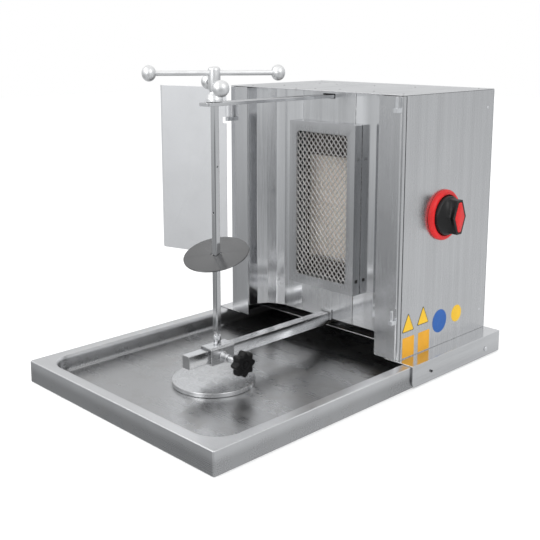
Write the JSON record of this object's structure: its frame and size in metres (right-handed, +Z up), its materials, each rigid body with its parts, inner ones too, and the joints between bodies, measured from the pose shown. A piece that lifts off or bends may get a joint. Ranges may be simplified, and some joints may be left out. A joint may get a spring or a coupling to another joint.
{
  "type": "gas gyros grill",
  "caption": "Countertop vertical gyros grill: hand-turned upright spit on a sliding carriage, drip tray, gas burner housing and swing shield.",
  "frame": {"origin": "middle of the drip tray's footprint on the counter, on the flat underside of the tray's stiffener", "axes": "+Z up, +Y from the spit towards the burner and the rear, +X towards the gas knob"},
  "size_m": [0.5469, 0.662, 0.4834],
  "materials": {
    "brushed_steel": "brushed, streaked reflections",
    "polished_steel": "fine satin, nearly mirror",
    "satin_shield": "matte satin sheet",
    "cast_aluminium": "cast, softly polished",
    "bright_chrome": "bright",
    "brass": "machined",
    "black_plastic": "satin black moulding",
    "red_plastic": "satin red moulding",
    "ceramic": null
  },
  "bodies": {
    "grill": {"drip_tray": "polished_steel", "tray_stiffener": "brushed_steel", "side_rail_left": "brushed_steel", "side_rail_right": "brushed_steel", "rail_screw_left": "bright_chrome", "rail_screw_right": "bright_chrome", "hinge_peg_left_lower": "brushed_steel", "hinge_peg_left_upper": "brushed_steel", "hinge_peg_right_lower": "brushed_steel", "hinge_peg_right_upper": "brushed_steel", "side_panel_left": "brushed_steel", "side_panel_right": "brushed_steel", "roof_cover": "brushed_steel", "rear_cover": "brushed_steel", "housing_floor": "brushed_steel", "chamber_wall_left": "brushed_steel", "chamber_wall_right": "brushed_steel", "chamber_centre_panel": "brushed_steel", "arm_collar": "brushed_steel", "burner_cover_frame": "brushed_steel", "burner_mesh": "brushed_steel", "burner_box": "brushed_steel", "ceramic_tile_lower": "ceramic", "ceramic_tile_upper": "ceramic", "burner_plenum": "brushed_steel", "mixer_tube": "cast_aluminium", "gas_injector": "brass", "burner_pipe": "brass", "inlet_pipe": "brass", "inlet_nipple": "brass", "thermocouple": "bright_chrome", "gas_valve": "brass", "knob_bezel": "red_plastic", "lower_arm": "brushed_steel", "arm_seat": "brushed_steel", "top_arm_guide": "brushed_steel"},
    "carriage": {"clamp_sleeve": "brushed_steel", "spit_bearing": "bright_chrome", "clamp_nut": "brushed_steel"},
    "clamp_foot": {"clamp_pad": "brass"},
    "clamp_screw": {"clamp_stem": "bright_chrome", "star_knob": "black_plastic"},
    "spit": {"spit": "brushed_steel", "handle_hub": "cast_aluminium", "handle_rod_upper": "cast_aluminium", "handle_rod_lower": "cast_aluminium", "handle_ball_right": "cast_aluminium", "handle_ball_left": "cast_aluminium", "handle_ball_front": "cast_aluminium", "handle_ball_rear": "cast_aluminium"},
    "meat_disc": {"upper_disc": "polished_steel"},
    "tray_disc": {"lower_disc": "polished_steel"},
    "top_slide": {"top_arm": "brushed_steel"},
    "side_shield": {"wing_left": "satin_shield"},
    "valve_stem": {"valve_plunger": "brass"},
    "control_knob": {"valve_spindle": "brushed_steel", "gas_knob": "black_plastic", "knob_pointer": "red_plastic"}
  },
  "joints": [
    {"name": "carriage_slide", "type": "slide", "parent": "grill", "child": "carriage", "axis": [0, 1, 0], "range_m": [-0.03, 0.12]},
    {"name": "clamp_feed", "type": "slide", "parent": "carriage", "child": "clamp_foot", "axis": [1, 0, 0], "range_m": [0, 0.0018]},
    {"name": "clamp_turn", "type": "hinge", "parent": "clamp_foot", "child": "clamp_screw", "pos_m": [0, -0.123, 0.05], "axis": [1, 0, 0], "range_deg": [0, 510]},
    {"name": "spit_spin", "type": "hinge", "parent": "carriage", "child": "spit", "pos_m": [0, -0.123, 0.07], "axis": [0, 0, 1], "continuous": true},
    {"name": "meat_disc_slide", "type": "slide", "parent": "spit", "child": "meat_disc", "axis": [0, 0, 1], "range_m": [-0.095, 0.19]},
    {"name": "tray_disc_lift", "type": "slide", "parent": "grill", "child": "tray_disc", "axis": [0, 0, 1], "range_m": [0, 0.013]},
    {"name": "top_arm_slide", "type": "slide", "parent": "grill", "child": "top_slide", "axis": [0, 1, 0], "range_m": [-0.03, 0.12]},
    {"name": "shield_hinge", "type": "hinge", "parent": "grill", "child": "side_shield", "pos_m": [-0.182, 0.0665, 0.2], "axis": [0, 0, 1], "range_deg": [-76, 78]},
    {"name": "knob_push", "type": "slide", "parent": "grill", "child": "valve_stem", "axis": [-1, 0, 0], "range_m": [0, 0.0025], "stiffness_N_per_m": 900},
    {"name": "knob_turn", "type": "hinge", "parent": "valve_stem", "child": "control_knob", "pos_m": [0.188, 0.183, 0.2495], "axis": [1, 0, 0], "range_deg": [0, 180]}
  ],
  "couplings": [
    {"joint": "top_arm_slide", "follows": "carriage_slide", "ratio": 1},
    {"joint": "clamp_feed", "follows": "clamp_turn", "m_per_rad": 0.00019894}
  ]
}
